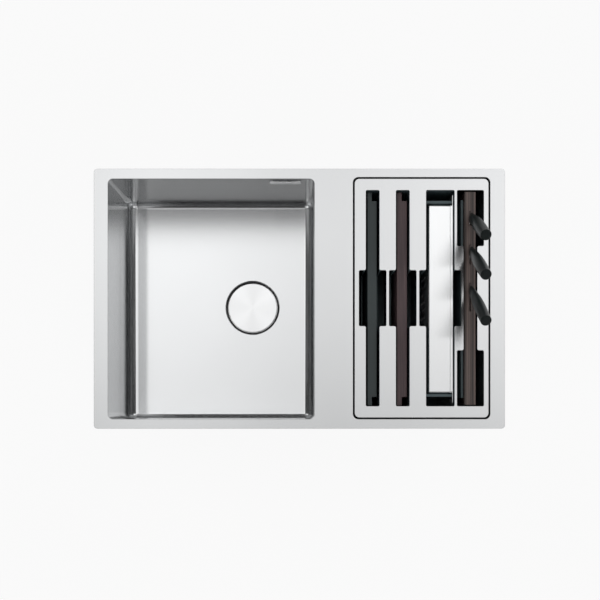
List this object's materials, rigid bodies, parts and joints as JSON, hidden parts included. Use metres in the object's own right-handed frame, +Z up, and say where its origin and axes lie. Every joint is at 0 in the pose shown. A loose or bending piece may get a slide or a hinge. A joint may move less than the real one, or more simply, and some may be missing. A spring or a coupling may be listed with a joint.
{
  "type": "kitchen sink",
  "caption": "Flat-rimmed steel worktop sink with a deep bowl, a flush drain cover, and an accessory bowl whose lift-out insert stores boards, a colander and a knife block.",
  "frame": {"origin": "middle of the deck's outline, on the worktop surface that the rim seal rests on", "axes": "+X to the right, towards the accessory bowl; +Y to the back; +Z up"},
  "size_m": [0.81, 0.5135, 0.4853],
  "materials": {
    "deck_steel": "fine satin",
    "bowl_steel": "satin, brushed along the walls",
    "drain_steel": "spun satin",
    "insert_steel": "satin",
    "colander_steel": "satin",
    "blade_steel": "ground satin",
    "zinc_steel": "zinc plated",
    "seal_rubber": "soft matte",
    "pad_rubber": "matte",
    "waste_plastic": "moulded, slightly glossy",
    "brass": "turned",
    "organiser_plastic": "moulded matte",
    "board_black": "matte pressed composite",
    "board_wood": "oiled dark wood",
    "block_wood": "oiled layered wood",
    "handle_black": "smooth with a soft sheen"
  },
  "bodies": {
    "sink": {"deck_plate": "deck_steel", "rim_seal": "seal_rubber", "main_bowl": "bowl_steel", "accessory_bowl": "bowl_steel", "bowl_pads": "pad_rubber", "box_pads": "pad_rubber", "clip_brackets": "deck_steel", "clip_screws": "zinc_steel", "overflow_plate": "drain_steel", "overflow_gasket": "seal_rubber", "overflow_housing": "waste_plastic", "overflow_nuts": "zinc_steel", "main_top_seal": "seal_rubber", "main_strainer": "drain_steel", "main_gasket": "seal_rubber", "main_waste_body": "waste_plastic", "main_threaded_insert": "brass", "main_clamp_screw": "zinc_steel", "outlet_washer": "seal_rubber", "outlet_tail": "waste_plastic", "outlet_nut": "waste_plastic", "box_top_seal": "seal_rubber", "box_strainer": "drain_steel", "box_gasket": "seal_rubber", "box_waste_body": "waste_plastic", "box_threaded_insert": "brass", "box_clamp_screw": "zinc_steel"},
    "basket": {"strainer_basket": "drain_steel", "basket_plug": "seal_rubber", "basket_knob": "drain_steel"},
    "cover": {"drain_cover": "drain_steel", "cover_feet": "seal_rubber"},
    "insert": {"insert_plate": "insert_steel", "plate_nuts": "zinc_steel", "organiser": "organiser_plastic", "organiser_feet": "seal_rubber", "side_bumpers": "seal_rubber"},
    "black_board_body": {"black_board": "board_black"},
    "wood_board_body": {"wood_board": "board_wood"},
    "colander_body": {"colander": "colander_steel"},
    "knife_block": {"knife_block_left": "block_wood", "knife_block_right": "block_wood"},
    "small_knife": {"small_knife_blade": "blade_steel", "small_knife_handle": "handle_black", "small_knife_cap": "handle_black"},
    "middle_knife": {"middle_knife_blade": "blade_steel", "middle_knife_handle": "handle_black", "middle_knife_cap": "handle_black"},
    "large_knife": {"large_knife_blade": "blade_steel", "large_knife_handle": "handle_black", "large_knife_cap": "handle_black"},
    "clip_front_left": {"jaw_front_left": "zinc_steel"},
    "clip_front_middle": {"jaw_front_middle": "zinc_steel"},
    "clip_front_right": {"jaw_front_right": "zinc_steel"},
    "clip_back_left": {"jaw_back_left": "zinc_steel"},
    "clip_back_middle": {"jaw_back_middle": "zinc_steel"},
    "clip_back_right": {"jaw_back_right": "zinc_steel"},
    "clip_left": {"jaw_left": "zinc_steel"},
    "clip_right": {"jaw_right": "zinc_steel"}
  },
  "joints": [
    {"name": "basket_lift", "type": "slide", "parent": "sink", "child": "basket", "axis": [0, 0, 1], "range_m": [0, 0.25]},
    {"name": "cover_lift", "type": "slide", "parent": "basket", "child": "cover", "axis": [0, 0, 1], "range_m": [0, 0.25]},
    {"name": "insert_lift", "type": "slide", "parent": "sink", "child": "insert", "axis": [0, 0, 1], "range_m": [0, 0.25]},
    {"name": "black_board_lift", "type": "slide", "parent": "insert", "child": "black_board_body", "axis": [0, 0, 1], "range_m": [0, 0.2]},
    {"name": "wood_board_lift", "type": "slide", "parent": "insert", "child": "wood_board_body", "axis": [0, 0, 1], "range_m": [0, 0.2]},
    {"name": "colander_lift", "type": "slide", "parent": "insert", "child": "colander_body", "axis": [0, 0, 1], "range_m": [0, 0.2]},
    {"name": "knife_block_lift", "type": "slide", "parent": "insert", "child": "knife_block", "axis": [0, 0, 1], "range_m": [0, 0.2]},
    {"name": "small_knife_draw", "type": "slide", "parent": "knife_block", "child": "small_knife", "axis": [0, -0.4147, 0.91], "range_m": [0, 0.09]},
    {"name": "middle_knife_draw", "type": "slide", "parent": "knife_block", "child": "middle_knife", "axis": [0, -0.4462, 0.8949], "range_m": [0, 0.16]},
    {"name": "large_knife_draw", "type": "slide", "parent": "knife_block", "child": "large_knife", "axis": [0, -0.4848, 0.8746], "range_m": [0, 0.195]},
    {"name": "jaw_front_left_swing", "type": "hinge", "parent": "sink", "child": "clip_front_left", "pos_m": [-0.2959, -0.2428, -0.033], "axis": [0, 0, 1], "range_deg": [0, 90]},
    {"name": "jaw_front_middle_swing", "type": "hinge", "parent": "sink", "child": "clip_front_middle", "pos_m": [-0.0924, -0.2428, -0.033], "axis": [0, 0, 1], "range_deg": [0, 90]},
    {"name": "jaw_front_right_swing", "type": "hinge", "parent": "sink", "child": "clip_front_right", "pos_m": [0.2407, -0.2428, -0.033], "axis": [0, 0, 1], "range_deg": [0, 90]},
    {"name": "jaw_back_left_swing", "type": "hinge", "parent": "sink", "child": "clip_back_left", "pos_m": [-0.2959, 0.2418, -0.033], "axis": [0, 0, 1], "range_deg": [0, 90]},
    {"name": "jaw_back_middle_swing", "type": "hinge", "parent": "sink", "child": "clip_back_middle", "pos_m": [-0.0924, 0.2418, -0.033], "axis": [0, 0, 1], "range_deg": [0, 90]},
    {"name": "jaw_back_right_swing", "type": "hinge", "parent": "sink", "child": "clip_back_right", "pos_m": [0.2407, 0.2449, -0.033], "axis": [0, 0, 1], "range_deg": [0, 90]},
    {"name": "jaw_left_swing", "type": "hinge", "parent": "sink", "child": "clip_left", "pos_m": [-0.3828, -0.0005, -0.033], "axis": [0, 0, 1], "range_deg": [0, 90]},
    {"name": "jaw_right_swing", "type": "hinge", "parent": "sink", "child": "clip_right", "pos_m": [0.3813, 0.00105, -0.033], "axis": [0, 0, 1], "range_deg": [0, 90]}
  ]
}
